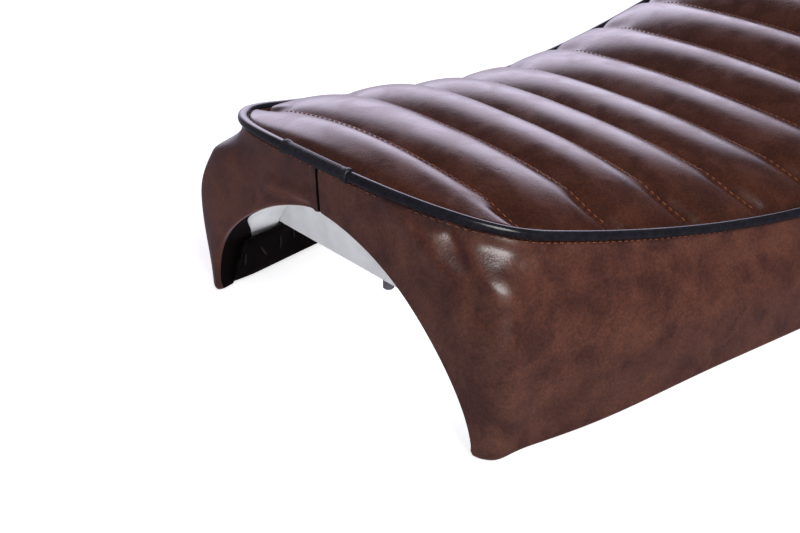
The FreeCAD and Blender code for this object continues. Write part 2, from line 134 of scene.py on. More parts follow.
GATHER_REACH = 70.0
HANGING_ROWS = 90
ROLLED_ROWS = 6
LEATHER_THICKNESS = 1.0
SEAM_COLUMNS = 3
SAG = 4.6
SAG_X = 300.0
SAG_Y = -92.0
SAG_REACH = 58.0
HIP_LEVEL = 0.42
HIP_POWER = 1.5
NECK_LEVEL = 0.5
NECK_POWER = 1.2
SHOULDER_LEVEL = 0.78
SHOULDER_REACH = 0.15
WELT_TUCK = 2.2
WELT_TUCK_LEVEL = 0.955
FLARE_POWER = 4
NOSE_EASE = 14.0
ARCH_POWER = 1.6
ARCH_ROUNDS = 8
LEAN_FROM = 245.0
LEAN_REACH = 25.0
SEAM_DEPTH = 1.4
SEAM_WIDTH = 0.8
LIP_AT = 2.4
LIP_WIDTH = 1.4
GATHER_LEVEL = 0.93
GATHER_BAND = 0.04
LINING_LEAST = 2.0
LINING_TOP = 66.0
LINING_FADE = 34.0
TURNED_ROWS = 14
ROW_CROWDING = 0.06
SEAM_LIP_Y = (0, 0.25, 0.5, 0.8, 1.2, 1.8, 2.6, 3.6)
FRONT_START = 5.0
FRONT_COLUMNS = 90
CORNER_COLUMNS = 50
FLANK_COLUMNS = 150
TAIL_COLUMNS = 70

welt_nose_x = SEAT_LENGTH / 2 - WELT_RADIUS
hem_nose_x = welt_nose_x - HEM_SETBACK
hem_tail_x = -SEAT_LENGTH / 2
welt_tail_x = hem_tail_x + WELT_INSET
low_x = welt_nose_x - WELT_LOW_AT
hem_flank_start = hem_nose_x - HEM_CORNER_DEPTH
hem_flank_end = hem_tail_x + TAIL_DEPTH
welt_flank_start = welt_nose_x - WELT_NOSE_DEPTH
welt_flank_end = welt_tail_x + TAIL_DEPTH


def flank_half_width(x):
    """Half width of the hem: rear - (rear - nose) * (1 - s / widest_at)^2, at a distance s from the nose."""
    left = np.maximum(0.0, 1 - (hem_nose_x - x) / WIDEST_AT)
    return REAR_HALF_WIDTH - (REAR_HALF_WIDTH - NOSE_HALF_WIDTH) * left ** 2


def squared_round(angle, power):
    """Quarter of the superellipse a^p + b^p = 1 at a polar angle."""
    along, across = np.cos(angle), np.sin(angle)
    reach = (np.abs(along) ** power + np.abs(across) ** power) ** (-1 / power)
    return along * reach, across * reach


def welt_height(x):
    """Height of the welt: low + (nose - low) * s^1.6 ahead of the low point, half a cosine wave behind."""
    ahead = np.clip((x - low_x) / (welt_nose_x - low_x), 0, 1) ** NOSE_FALL_POWER
    turn = np.pi * np.clip((low_x - x) / (low_x - welt_tail_x), 0, 1)
    behind = (1 - np.cos(turn)) / 2
    return (WELT_LOW_HEIGHT + (WELT_NOSE_HEIGHT - WELT_LOW_HEIGHT) * ahead
            + (WELT_TAIL_HEIGHT - WELT_LOW_HEIGHT) * behind)


def smooth_step(t):
    """3 t^2 - 2 t^3, with t held between 0 and 1."""
    t = np.clip(t, 0, 1)
    return t * t * (3 - 2 * t)


def smoothed(values, reach):
    """Running mean over a few neighbours, with the ends held."""
    padded = np.pad(values, reach, mode="edge")
    return np.convolve(padded, np.ones(2 * reach + 1) / (2 * reach + 1), mode="valid")


def unit(vectors):
    """Vectors divided by their lengths."""
    return vectors / np.maximum(np.linalg.norm(vectors, axis=-1, keepdims=True), 1e-9)


def eased_width(x, start):
    """Half width of a rounded nose: start + slope * s * exp(-(s / ease)^2) at s ahead of the flank's start.

    The slope is the flank's own, so the two meet with no kink.
    """
    ahead = np.maximum(0, x - start)
    slope = flank_half_width(start + 1) - flank_half_width(start)
    return flank_half_width(start) + slope * ahead * np.exp(-(ahead / NOSE_EASE) ** 2)


def side_columns():
    """Plan points of the left hem and of the welt above it, column by column from nose to tail.

    Nose and tail are quarters of superellipses, and the flank runs between them.
    """
    width = flank_half_width(hem_flank_start)
    spread = FRONT_START + (ARCH_HALF_WIDTH - FRONT_START) * (1 - np.linspace(1, 0, FRONT_COLUMNS) ** 2)
    across = np.concatenate([SEAM_LIP_Y, spread]) / width
    along = (1 - across ** HEM_CORNER_POWER) ** (1 / HEM_CORNER_POWER)
    front = np.arctan2(across, along)
    angle = np.concatenate([front, np.linspace(front[-1], np.pi / 2, CORNER_COLUMNS)[1:-1]])
    hem_a, hem_b = squared_round(angle, HEM_CORNER_POWER)
    welt_a, welt_b = squared_round(angle, WELT_NOSE_POWER)
    nose_hem_x = hem_flank_start + HEM_CORNER_DEPTH * hem_a
    nose_welt_x = welt_flank_start + WELT_NOSE_DEPTH * welt_a
    nose_hem_y = eased_width(nose_hem_x, hem_flank_start) * hem_b
    nose_welt_y = (eased_width(nose_welt_x, welt_flank_start) - WELT_INSET) * welt_b
    share = np.linspace(0, 1, FLANK_COLUMNS)
    hem_x = hem_flank_start + (hem_flank_end - hem_flank_start) * share
    welt_x = welt_flank_start + (welt_flank_end - welt_flank_start) * share
    tail_a, tail_b = squared_round(np.linspace(np.pi / 2, 0, TAIL_COLUMNS)[1:], TAIL_POWER)
    tail_width = flank_half_width(hem_flank_end)
    hem = np.stack([
        np.concatenate([nose_hem_x, hem_x, hem_flank_end - TAIL_DEPTH * tail_a]),
        np.concatenate([nose_hem_y, flank_half_width(hem_x), tail_width * tail_b])], axis=-1)
    welt = np.stack([
        np.concatenate([nose_welt_x, welt_x, welt_flank_end - TAIL_DEPTH * tail_a]),
        np.concatenate([nose_welt_y, flank_half_width(welt_x) - WELT_INSET,
                        (tail_width - WELT_INSET) * tail_b])], axis=-1)
    return hem, welt


hem_line, welt_line = side_columns()
hem_run = np.concatenate([[0], np.cumsum(np.linalg.norm(np.diff(hem_line, axis=0), axis=1))])
hem_step = np.gradient(hem_line, hem_run, axis=0)
hem_out = unit(np.stack([hem_step[:, 1], -hem_step[:, 0]], axis=-1))
welt_rise = welt_height(welt_line[:, 0])
hem_flare = HEM_FLARE * np.exp(-((hem_run - HEM_FLARE_RUN) / HEM_FLARE_REACH) ** 2)
hem_flare = hem_flare * np.maximum(0, hem_out[:, 1]) ** FLARE_POWER


def skirt(level, spread):
    """Skirt surface at levels from 0 at the hem to 1 at the welt, for every column.

    plan = hem + (welt - hem) * hip + out * bulge * 16 l^2 (1 - l)^2 and z = l * welt height,
    where the hip is a smooth step to the power 1.5. Round the nose corners it is split in two steps, so
    that a shoulder stands out under a short neck, and behind them the hem flares out a little.
    """
    level = np.asarray(level)[..., None]
    plain = smooth_step((level - HIP_LEVEL) / (1 - HIP_LEVEL)) ** HIP_POWER
    neck = smooth_step((level - NECK_LEVEL) / (1 - NECK_LEVEL)) ** NECK_POWER
    shoulder = smooth_step((level - SHOULDER_LEVEL) / SHOULDER_REACH)
    necked = (neck + shoulder) / 2
    corner = np.exp(-((hem_run - CORNER_RUN) / NECK_REACH) ** 2)[:, None]
    hip = plain + (necked - plain) * corner
    swell = 16 * level ** 2 * (1 - level) ** 2
    fade = np.exp(-np.maximum(0, hem_nose_x - hem_line[:, :1]) / CORNER_FADE)
    side = SIDE_BULGE + (CORNER_BULGE - SIDE_BULGE) * fade
    bulge = side + (NOSE_BULGE - side) * np.maximum(0, hem_out[:, :1])
    flare = spread * hem_flare[:, None] * (1 - level) ** 2
    tuck = WELT_TUCK * smooth_step((level - WELT_TUCK_LEVEL) / (1 - WELT_TUCK_LEVEL))
    plan = hem_line + (welt_line - hem_line) * hip + hem_out * (bulge * swell + flare - tuck)
    return np.concatenate([plan, level * welt_rise[:, None]], axis=-1)


def arch_level():
    """Lowest level of each column, and its share in the arch (y / half)^1.6 + (z / height)^2 = 1.

    Away from the arch the low edge is the hem. A column's y changes with its level, so both settle in rounds.
    """
    low = np.zeros(len(hem_line))
    for _ in range(ARCH_ROUNDS):
        across = np.clip(np.abs(skirt(low, 0.0)[:, 1]) / ARCH_HALF_WIDTH, 0, 1)
        across[hem_line[:, 1] >= ARCH_HALF_WIDTH] = 1
        across[hem_line[:, 0] < 0] = 1
        height = ARCH_HEIGHT * np.sqrt(1 - across ** ARCH_POWER)
        low = np.maximum(height, HEM_ROUND) / welt_rise
    return smoothed(low * welt_rise, 3) / welt_rise, smoothed((height > HEM_ROUND).astype(float), 4)


def settled(points):
    """Points with the right nose corner sunk a little: sag * exp(-(dx / reach)^2 - (dy / reach)^2).

    The drop is full at the welt's height and fades to nothing at the hem.
    """
    away = ((points[:, 0] - SAG_X) ** 2 + (points[:, 1] - SAG_Y) ** 2) / SAG_REACH ** 2
    sunk = SAG * np.exp(-away) * smooth_step(points[:, 2] / WELT_NOSE_HEIGHT)
    return points - sunk[:, None] * np.array([0, 0, 1])


def mesh_object(name, points, faces, made):
    """Smooth-shaded mesh of points in millimetres, which rides with the seat."""
    points = settled(points)
    mesh = bpy.data.meshes.new(name)
    mesh.from_pydata((points * MM).tolist(), [], faces.tolist())
    mesh.validate()
    mesh.polygons.foreach_set("use_smooth", np.ones(len(mesh.polygons), dtype=bool))
    mesh.materials.append(made)
    obj = bpy.data.objects.new(name, mesh)
    bpy.context.scene.collection.objects.link(obj)
    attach(obj, "root")
    return obj


def grid_faces(rows, columns, around=False, flip=False):
    """Quads of a grid of points stored row by row, closed across its columns if asked."""
    index = np.arange(rows * columns).reshape(rows, columns)
    if around:
        index = np.concatenate([index, index[:, :1]], axis=1)
    corners = [index[:-1, :-1], index[:-1, 1:], index[1:, 1:], index[1:, :-1]]
    if flip:
        corners.reverse()
    return np.stack(corners, axis=-1).reshape(-1, 4)


def from_segment(run, height, start, end):
    """Distance of points on the skirt, as run and height, from a straight segment on it."""
    ahead = np.array(end) - np.array(start)
    share = ((run - start[0]) * ahead[0] + (height - start[1]) * ahead[1]) / (ahead @ ahead)
    share = np.clip(share, 0, 1)
    return np.hypot(run - start[0] - share * ahead[0], height - start[1] - share * ahead[1])


# Folds in the leather: start and end as run along the hem and height, width, and how far it stands out.
CORNER_FOLDS = (
    ((54.0, 105.0), (84.0, 90.0), 6.0, 1.7),
    ((98.0, 97.0), (102.0, 74.0), 7.0, -3.0),
    ((113.0, 91.0), (114.0, 82.0), 8.0, 1.8),
    ((107.0, 89.5), (121.0, 88.0), 1.8, -0.6),
)
NOSE_FOLDS = (
    ((43.0, 87.5), (8.0, 92.0), 4.0, 2.6),
    ((41.0, 81.5), (7.0, 86.0), 2.6, -0.9),
)


def nose_lean(x):
    """How far the top of the turned-in hem leans inwards at the nose: lean * smooth step of x."""
    return NOSE_LEAN * smooth_step((x - LEAN_FROM) / LEAN_REACH)


def side_surface(folds, lip, gather, spread):
    """Panel with its folds: the hanging skirt, then its edge rolled under and carried on inside.

    A fold stands out by out * exp(-(d / width)^2), with d the distance from its segment. The edge rolls
    round a quarter circle. At the hem it then climbs the inside, and at the arch it lines the opening.
    """
    low, arch = arch_level()
    share = np.linspace(1, 0, HANGING_ROWS)
    share = share + ROW_CROWDING * np.sin(2 * np.pi * share)
    levels = low + (1 - low) * share[:, None]
    seam = SEAM_DEPTH * np.exp(-(hem_line[:, 1] / SEAM_WIDTH) ** 2)
    seam = seam - lip * np.exp(-((hem_line[:, 1] - LIP_AT) / LIP_WIDTH) ** 2)
    hanging = skirt(levels, spread)
    hanging[..., 0] -= seam * (hem_line[:, 0] > 0)
    stand = gather * np.sin(2 * np.pi * hem_run / GATHER_PITCH)
    stand = stand * np.exp(-((levels - GATHER_LEVEL) / GATHER_BAND) ** 2)
    stand = stand * np.exp(-((hem_run - CORNER_RUN) / GATHER_REACH) ** 2)
    for start, end, width, out in folds:
        stand = stand + out * np.exp(-(from_segment(hem_run, hanging[..., 2], start, end) / width) ** 2)
    hanging[..., :2] += stand[..., None] * hem_out
    edge = hanging[-1]
    run = unit(np.gradient(edge, axis=0))
    down = edge - hanging[-2]
    down = unit(down - np.sum(down * run, axis=-1, keepdims=True) * run)
    inward = -np.concatenate([hem_out, np.zeros((len(hem_out), 1))], axis=-1)
    inward = unit(inward * (1 - arch[:, None]) + np.array([-1.0, 0, 0]) * arch[:, None])
    radius = (HEM_ROUND + (ARCH_ROUND - HEM_ROUND) * arch)[:, None]
    arch = arch[:, None]
    depth = LINING_LEAST + ARCH_LINING * smooth_step((LINING_TOP - edge[:, 2:]) / LINING_FADE)
    lean = nose_lean(hem_line[:, 0])
    rolled = []
    for turn in np.linspace(0, np.pi / 2, ROLLED_ROWS + 1)[1:]:
        rolled.append(edge + radius * (down * np.sin(turn) + inward * (1 - np.cos(turn))))
    under = rolled[-1]
    for step in np.linspace(0, 1, TURNED_ROWS + 1)[1:]:
        turn = np.pi / 2 * min(1.0, 2 * step)
        climb = HEM_TURN * max(0.0, 2 * step - 1)
        inset = (TURN_INSET + spread * hem_flare)[:, None] * min(1.0, 2 * step)
        inset = inset + lean[:, None] * max(0.0, 2 * step - 1)
        hem = edge + radius * (down * np.cos(turn) + inward * (1 + np.sin(turn))) + inward * inset
        hem = hem + np.array([0, 0, climb])
        lining = under + inward * depth * step
        rolled.append(hem * (1 - arch) + lining * arch)
    return np.concatenate([hanging, np.array(rolled)])


def leather(name, dark, mid, pale, roughness, shine, relief, wrinkle):
    """Waxed leather: clouds of darker and paler brown, pores, pebbled grain and patches of fine wrinkles.

    Wrinkles are the lines where a slow noise crosses its mean, kept to patches by a second noise.
    """
    made = bpy.data.materials.new(name)
    made.use_nodes = True
    tree = made.node_tree
    link = tree.links.new
    shader = tree.nodes["Principled BSDF"]
    shader.inputs["Specular IOR Level"].default_value = shine
    place = tree.nodes.new("ShaderNodeTexCoord")

    def noise(scale, detail, distortion=0.0):
        texture = tree.nodes.new("ShaderNodeTexNoise")
        texture.inputs["Scale"].default_value = scale
        texture.inputs["Detail"].default_value = detail
        texture.inputs["Distortion"].default_value = distortion
        link(place.outputs["Object"], texture.inputs["Vector"])
        return texture.outputs["Fac"]

    def ranged(value, low, high, to_low, to_high):
        ramp = tree.nodes.new("ShaderNodeMapRange")
        ramp.interpolation_type = "SMOOTHSTEP"
        limits = (("From Min", low), ("From Max", high), ("To Min", to_low), ("To Max", to_high))
        for socket, number in limits:
            ramp.inputs[socket].default_value = number
        link(value, ramp.inputs["Value"])
        return ramp.outputs["Result"]

    def math_of(operation, first, second):
        node = tree.nodes.new("ShaderNodeMath")
        node.operation = operation
        link(first, node.inputs[0])
        if isinstance(second, float):
            node.inputs[1].default_value = second
        else:
            link(second, node.inputs[1])
        return node.outputs["Value"]

    clouds = noise(64.0, 6.0, 0.4)
    tones = tree.nodes.new("ShaderNodeValToRGB")
    tones.color_ramp.elements[0].position = 0.36
    tones.color_ramp.elements[0].color = (*dark, 1)
    tones.color_ramp.elements[1].position = 0.68
    tones.color_ramp.elements[1].color = (*pale, 1)
    middle = tones.color_ramp.elements.new(0.50)
    middle.color = (*mid, 1)
    link(clouds, tones.inputs["Fac"])
    pores = ranged(noise(750.0, 2.0), 0.32, 0.68, 0.78, 1.20)
    tinted = tree.nodes.new("ShaderNodeVectorMath")
    tinted.operation = "SCALE"
    link(tones.outputs["Color"], tinted.inputs[0])
    link(pores, tinted.inputs["Scale"])
    link(tinted.outputs["Vector"], shader.inputs["Base Color"])
    link(ranged(clouds, 0.36, 0.68, roughness - 0.05, roughness + 0.07), shader.inputs["Roughness"])
    crossing = math_of("ABSOLUTE", math_of("SUBTRACT", noise(42.0, 3.0, 1.6), 0.5), 0.0)
    patches = ranged(noise(14.0, 1.0), 0.52, 0.66, 0.0, wrinkle)
    lines = math_of("MULTIPLY", ranged(crossing, 0.0, 0.03, 1.0, 0.0), patches)
    grain = tree.nodes.new("ShaderNodeTexVoronoi")
    grain.inputs["Scale"].default_value = 850.0
    link(place.outputs["Object"], grain.inputs["Vector"])
    pebbles = math_of("MULTIPLY", grain.outputs["Distance"], 0.45)
    height = math_of("SUBTRACT", math_of("ADD", pebbles, noise(320.0, 2.0)), lines)
    bump = tree.nodes.new("ShaderNodeBump")
    bump.inputs["Strength"].default_value = relief
    bump.inputs["Distance"].default_value = 0.0007
    link(height, bump.inputs["Height"])
    link(bump.outputs["Normal"], shader.inputs["Normal"])
    return made


side_leather = leather(
    "side_leather", dark=(0.051, 0.0135, 0.007), mid=(0.076, 0.0205, 0.009), pale=(0.102, 0.0285, 0.011),
    roughness=0.34, shine=0.9, relief=0.12, wrinkle=0.5)
# Painted shade: the turned-in hem, the lining of the arch and the seam groove at the nose are the same
# leather as the panels, coloured almost black to stand for the shade that falls there.
painted_shade_leather = finish("painted_shade_leather", (0.0015, 0.0006, 0.0006), (0.004, 0.0018, 0.0016), 0.8, 300.0)
painted_shade_leather.node_tree.nodes["Principled BSDF"].inputs["Specular IOR Level"].default_value = 0.1
left_side = side_surface(CORNER_FOLDS, lip=0.0, gather=0.35, spread=0.8)
right_side = side_surface(NOSE_FOLDS, lip=0.6, gather=0.0, spread=1.1) * np.array([1, -1, 1])
rows, columns = left_side.shape[:2]
# The faces of the turned-in rows and of the seam's columns take the near-black leather, which paints the
# shade in those places.
turned_in = np.arange(rows - 1)[:, None] >= HANGING_ROWS + ROLLED_ROWS
in_seam = np.arange(columns - 1)[None, :] < SEAM_COLUMNS
inside = (turned_in | in_seam).astype(int).ravel()
for side, points in (("left", left_side), ("right", right_side)):
    panel = mesh_object(f"side_leather_{side}", points.reshape(-1, 3),
                        grid_faces(rows, columns, flip=side == "left"), side_leather)
    panel.data.materials.append(painted_shade_leather)
    panel.data.polygons.foreach_set("material_index", inside)
    thick = panel.modifiers.new("thickness", "SOLIDIFY")
    thick.thickness = LEATHER_THICKNESS * MM
    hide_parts(f"side_panel_{side}")

# Quilted top
# Leather sewn to thin foam in round channels across the seat. Each stitch line pulls a crisp valley,
# and the rolls flatten and tuck down where the panel meets the welt. It is one form with the foam below.
FIRST_STITCH = 37.5
STITCH_PITCH = 45.0
STITCH_COUNT = 13
CROWN_HEIGHT = 19.0
ROLL_HEIGHT = 6.4
STITCH_BEND = 13.0
BEND_REACH = 90.0
POCKET = 3.0
POCKET_REACH = 6.0
ROLL_EDGE_SHARE = 0.06
TOP_GAP = 2.2
ROLL_POWER = 2.1
NOSE_FLAT_LEAD = 15.0
NOSE_FLAT_REACH = 45.0
FRONT_FROM = 60.0
FRONT_REACH = 140.0
CROWN_LOSS = 0.42
CROWN_LOSS_FROM = 190.0
CROWN_LOSS_REACH = 90.0
TOP_TUCK = 1.8
TOP_TUCK_EDGE = 0.965
POCKET_EDGE = 0.70
POCKET_RAMP = 0.20
TOP_LIFT = 1.0
ROLL_ROWS = 26
ROLL_CROWDING = 0.07
TOP_COLUMNS = 181

top_nose_x = welt_nose_x - TOP_GAP
top_tail_x = welt_tail_x + TOP_GAP
stitch_x = [x for x in welt_nose_x - FIRST_STITCH - STITCH_PITCH * np.arange(STITCH_COUNT)
            if x > welt_tail_x + FIRST_STITCH / 2]
roll_bounds = np.array([top_nose_x, *stitch_x, top_tail_x])


def top_plan(station, across):
    """Plan point of the top at a station along the middle and a share across, with rounded nose and tail.

    A square a, b in 0 to 1 maps to a rounded end by a (1 - b^p / 2)^(1/p), b (1 - a^p / 2)^(1/p).
    Behind the first stitch line the lines bend back at their ends, by bend * across^4.
    """
    bend = STITCH_BEND * (1 - np.exp(-np.maximum(0, stitch_x[0] - station) / BEND_REACH))
    bend = bend * smooth_step((station - welt_flank_end) / TAIL_DEPTH)
    x = station - bend * across ** 4
    y = across * (flank_half_width(x) - WELT_INSET - TOP_GAP)
    edge = np.abs(across) + 0 * station
    for start, tip, power in ((welt_flank_start, top_nose_x, WELT_NOSE_POWER),
                              (welt_flank_end, top_tail_x, TAIL_POWER)):
        a = np.clip((station - start) / (tip - start), 0, 1) + 0 * across
        width = flank_half_width(start) - WELT_INSET - TOP_GAP
        out = a * (1 - np.abs(across) ** power / 2) ** (1 / power)
        over = across * (1 - a ** power / 2) ** (1 / power)
        ahead = a > 0
        x = np.where(ahead, start + (tip - start) * out, x)
        y = np.where(ahead, width * over, y)
        edge = np.where(ahead, (out ** power + np.abs(over) ** power) ** (1 / power), edge)
    return x, y, np.clip(edge, 0, 1)


def top_height(station, x, edge):
    """Height of the top: the welt's line, a crown (1 - edge^p)^q, and rolls 1 - |2t - 1|^2.1.

    The crown falls off sooner towards the nose, where the first roll lies flat against the welt. At the
    ends of each stitch line the leather is drawn down into a small pocket.
    """
    roll = np.clip(np.searchsorted(-roll_bounds, -station, side="right") - 1, 0, len(roll_bounds) - 2)
    front, back = roll_bounds[roll], roll_bounds[roll + 1]
    t = np.clip((front - station) / (front - back), 0, 1)
    bow = 1 - np.abs(2 * t - 1) ** ROLL_POWER
    size = np.minimum(1, ((front - back) / STITCH_PITCH) ** 2)
    ends = ROLL_EDGE_SHARE + (1 - ROLL_EDGE_SHARE) * (1 - edge ** 3)
    nose = smooth_step((x - welt_flank_start + NOSE_FLAT_LEAD) / NOSE_FLAT_REACH)
    ahead = smooth_step((x - FRONT_FROM) / FRONT_REACH)
    crown_p = 2.1 + 0.7 * ahead - 1.3 * nose
    crown_q = 0.5 + 0.35 * ahead + 0.4 * nose
    crown = (1 - edge ** crown_p) ** crown_q
    crown = crown * (1 - CROWN_LOSS * smooth_step((x - CROWN_LOSS_FROM) / CROWN_LOSS_REACH))
    tuck = TOP_TUCK * smooth_step((edge - TOP_TUCK_EDGE) / (1 - TOP_TUCK_EDGE))
    valley = np.minimum(t, 1 - t) * (front - back)
    pocket = POCKET * np.exp(-(valley / POCKET_REACH) ** 2) * smooth_step((edge - POCKET_EDGE) / POCKET_RAMP)
    raised = CROWN_HEIGHT * crown + ROLL_HEIGHT * size * ends * bow
    return welt_height(x) + TOP_LIFT + raised - tuck - pocket


def top_surface():
    """Grid over the top, with rows gathered at the stitch lines."""
    stations = []
    for front, back in zip(roll_bounds, roll_bounds[1:]):
        t = np.linspace(0, 1, ROLL_ROWS + 1)[:-1]
        t = t - ROLL_CROWDING * np.sin(2 * np.pi * t)
        stations.append(front + (back - front) * t)
    stations = np.append(np.concatenate(stations), roll_bounds[-1])[:, None]
    across = np.sin(np.linspace(-np.pi / 2, np.pi / 2, TOP_COLUMNS))[None, :]
    across = 0.6 * across + 0.4 * np.linspace(-1, 1, TOP_COLUMNS)[None, :]
    x, y, edge = top_plan(stations, across)
    return np.stack([x, y, top_height(stations + 0 * across, x, edge)], axis=-1)


quilted_leather = leather(
    "quilted_leather", dark=(0.046, 0.0125, 0.005), mid=(0.060, 0.0165, 0.0065), pale=(0.078, 0.0225, 0.009),
    roughness=0.23, shine=0.5, relief=0.05, wrinkle=1.6)
top_points = top_surface()
rows, columns = top_points.shape[:2]
top = mesh_object("quilted_top", top_points.reshape(-1, 3), grid_faces(rows, columns),
                  quilted_leather)
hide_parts("top_panel", "foam_pad")

# Welt
# A cord covered in glossy black vinyl, sewn in between the top and the side panels all round.
# It is one length, and its ends meet under the sleeve at the middle of the nose.


def tube(path, out, radius, sides=18):
    """Grid of points round a path: radius * (cos * out + sin * up) at each step."""
    turn = np.linspace(0, 2 * np.pi, sides, endpoint=False)
    up = np.array([0, 0, 1.0])
    radius = np.broadcast_to(radius, (len(path),))[:, None, None]
    ring = np.cos(turn)[None, :, None] * out[:, None, :] + np.sin(turn)[None, :, None] * up
    return path[:, None, :] + radius * ring


piping = finish("piping", (0.005, 0.005, 0.007), (0.010, 0.010, 0.014), 0.22, 300.0, 0.0)
half_path = np.concatenate([welt_line, welt_rise[:, None]], axis=-1)
welt_step = np.gradient(welt_line, axis=0)
half_out = unit(np.stack([welt_step[:, 1], -welt_step[:, 0], 0 * welt_step[:, 0]], axis=-1))
mirror = np.array([1, -1, 1])
welt_path = np.concatenate([half_path, (half_path * mirror)[-2:0:-1]])
welt_out = np.concatenate([half_out, (half_out * mirror)[-2:0:-1]])
closed_path = np.concatenate([welt_path, welt_path[:1]])
closed_out = np.concatenate([welt_out, welt_out[:1]])
welt_points = tube(closed_path, closed_out, WELT_RADIUS)
rows, columns = welt_points.shape[:2]
welt = mesh_object("piped_welt", welt_points.reshape(-1, 3), grid_faces(rows, columns, around=True),
                   piping)
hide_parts("welt")

# Welt sleeve
# A short ribbed sleeve of black rubber over the joint of the welt, at the middle of the nose.
# Its two ends are a little thicker than the rest.
SLEEVE_LENGTH = 47.0
SLEEVE_RADIUS = 3.6
SLEEVE_WAIST = 0.5
SLEEVE_END = 0.8
SLEEVE_END_RAMP = 0.15
BRAID_PITCH = 1.7
BRAID_DEPTH = 0.04
sleeve_rubber = finish("sleeve_rubber", (0.006, 0.006, 0.009), (0.016, 0.016, 0.022), 0.45, 700.0, 0.05)
nose_path = half_path[half_path[:, 0] > welt_flank_start]
sleeve_y = np.linspace(-SLEEVE_LENGTH / 2, SLEEVE_LENGTH / 2, 181)
sleeve_x = np.interp(np.abs(sleeve_y), nose_path[:, 1], nose_path[:, 0])
sleeve_path = np.stack([sleeve_x, sleeve_y, welt_height(sleeve_x)], axis=-1)
sleeve_step = np.gradient(sleeve_path, axis=0)
sleeve_out = unit(np.stack([sleeve_step[:, 1], -sleeve_step[:, 0], 0 * sleeve_step[:, 0]], axis=-1))
reach = np.abs(sleeve_y) / (SLEEVE_LENGTH / 2)
braid = BRAID_DEPTH * np.sin(2 * np.pi * sleeve_y / BRAID_PITCH)
waist = SLEEVE_WAIST * (1 - smooth_step((reach - SLEEVE_END) / SLEEVE_END_RAMP))
sleeve_radius = SLEEVE_RADIUS - waist + braid
sleeve_radius[[0, -1]] = WELT_RADIUS
sleeve_points = tube(sleeve_path, sleeve_out, sleeve_radius)
rows, columns = sleeve_points.shape[:2]
sleeve = mesh_object("joint_sleeve", sleeve_points.reshape(-1, 3),
                     grid_faces(rows, columns, around=True), sleeve_rubber)
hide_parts("welt_sleeve")

# Stitching
# Rust-orange thread lies in the valley of each channel, and along the side panels just under the welt.
# Each stitch is a short raised length of thread, with a gap before the next.
THREAD_RADIUS = 0.33
STITCH_LENGTH = 2.5
STITCH_SPACING = 3.8
SEAM_LEVEL = 0.965
SEAM_LIFT = 0.3
VALLEY_LIFT = 0.25
VALLEY_SPAN = 0.975
thread = finish("thread", (0.20, 0.055, 0.018), (0.32, 0.10, 0.035), 0.6, 900.0)


def stitch_row(line, lift):
    """Centres and directions of stitches spaced along a line."""
    step = np.linalg.norm(np.diff(line, axis=0), axis=1)
    along = np.concatenate([[0], np.cumsum(step)])
    places = np.arange(STITCH_SPACING, along[-1] - STITCH_SPACING, STITCH_SPACING)
    centres = np.stack([np.interp(places, along, line[:, i]) for i in range(3)], axis=-1)
    ahead = np.stack([np.interp(places + 0.5, along, line[:, i]) for i in range(3)], axis=-1)
    return centres + np.array([0, 0, lift]), unit(ahead - centres)


def stitches(name, centres, runs, length, thickness, made):
    """Small spindles of thread or wire: rings of thickness * sin(pi * t)^0.5 along each stitch."""
    t = np.linspace(0.03, 0.97, 6)
    turn = np.linspace(0, 2 * np.pi, 6, endpoint=False)
    side = unit(np.cross(runs, [0, 0, 1.0]))
    up = np.cross(side, runs)
    swell = thickness * np.sqrt(np.sin(np.pi * t))
    ring = (np.cos(turn)[None, :, None] * side[:, None, None, :]
            + np.sin(turn)[None, :, None] * up[:, None, None, :])
    points = (centres[:, None, None, :] + (t - 0.5)[None, :, None, None] * length * runs[:, None, None, :]
              + swell[None, :, None, None] * ring)
    one = grid_faces(len(t), len(turn), around=True)
    count = len(t) * len(turn)
    faces = (one[None] + np.arange(len(centres))[:, None, None] * count).reshape(-1, 4)
    return mesh_object(name, points.reshape(-1, 3), faces, made)


centres, runs = [], []
across = np.linspace(-VALLEY_SPAN, VALLEY_SPAN, 161)
for x in stitch_x:
    station = np.full_like(across, x)
    px, py, edge = top_plan(station, across)
    c, r = stitch_row(np.stack([px, py, top_height(station, px, edge)], axis=-1), VALLEY_LIFT)
    centres.append(c)
    runs.append(r)
stitches("valley_stitching", np.concatenate(centres), np.concatenate(runs), STITCH_LENGTH, THREAD_RADIUS,
         thread)
seam_line = skirt(np.full(len(hem_line), SEAM_LEVEL), 0.0) + SEAM_LIFT * np.pad(hem_out, ((0, 0), (0, 1)))
centres, runs = stitch_row(seam_line, 0.0)
stitches("seam_stitching", np.concatenate([centres, centres * mirror]),
         np.concatenate([runs, runs * mirror]), STITCH_LENGTH, THREAD_RADIUS, thread)

# Staples
# Dull wire staples hold the turned-in leather to the inside of the pan's walls.
# They stand nearly upright, and every third one is slanted.
STAPLE_LENGTH = 11.0
STAPLE_RADIUS = 0.55
STAPLE_PITCH = 13.0
STAPLE_HEIGHT = 19.0
STAPLE_COUNT = 38
FIRST_STAPLE = 16.0
STAPLE_SLANT = 0.7
STAPLE_TILT = 0.15
staple_wire = finish("staple_wire", (0.07, 0.07, 0.07), (0.12, 0.12, 0.12), 0.5, 400.0, metallic=1.0)
staple_x = hem_nose_x - FIRST_STAPLE - STAPLE_PITCH * np.arange(STAPLE_COUNT)
lean = nose_lean(staple_x) / HEM_TURN
staple_y = flank_half_width(staple_x) - 2 * HEM_ROUND - TURN_INSET - LEATHER_THICKNESS
staple_y = staple_y - lean * (STAPLE_HEIGHT - HEM_ROUND)
centres = np.stack([staple_x, staple_y, np.full_like(staple_x, STAPLE_HEIGHT)], axis=-1)
slant = np.where(np.arange(len(staple_x)) % 3 == 1, STAPLE_SLANT, STAPLE_TILT)
runs = unit(np.stack([slant, -lean, 1 + 0 * slant], axis=-1))
stitches("hem_staples", np.concatenate([centres, centres * mirror]), np.concatenate([runs, runs * mirror]),
         STAPLE_LENGTH, STAPLE_RADIUS, staple_wire)

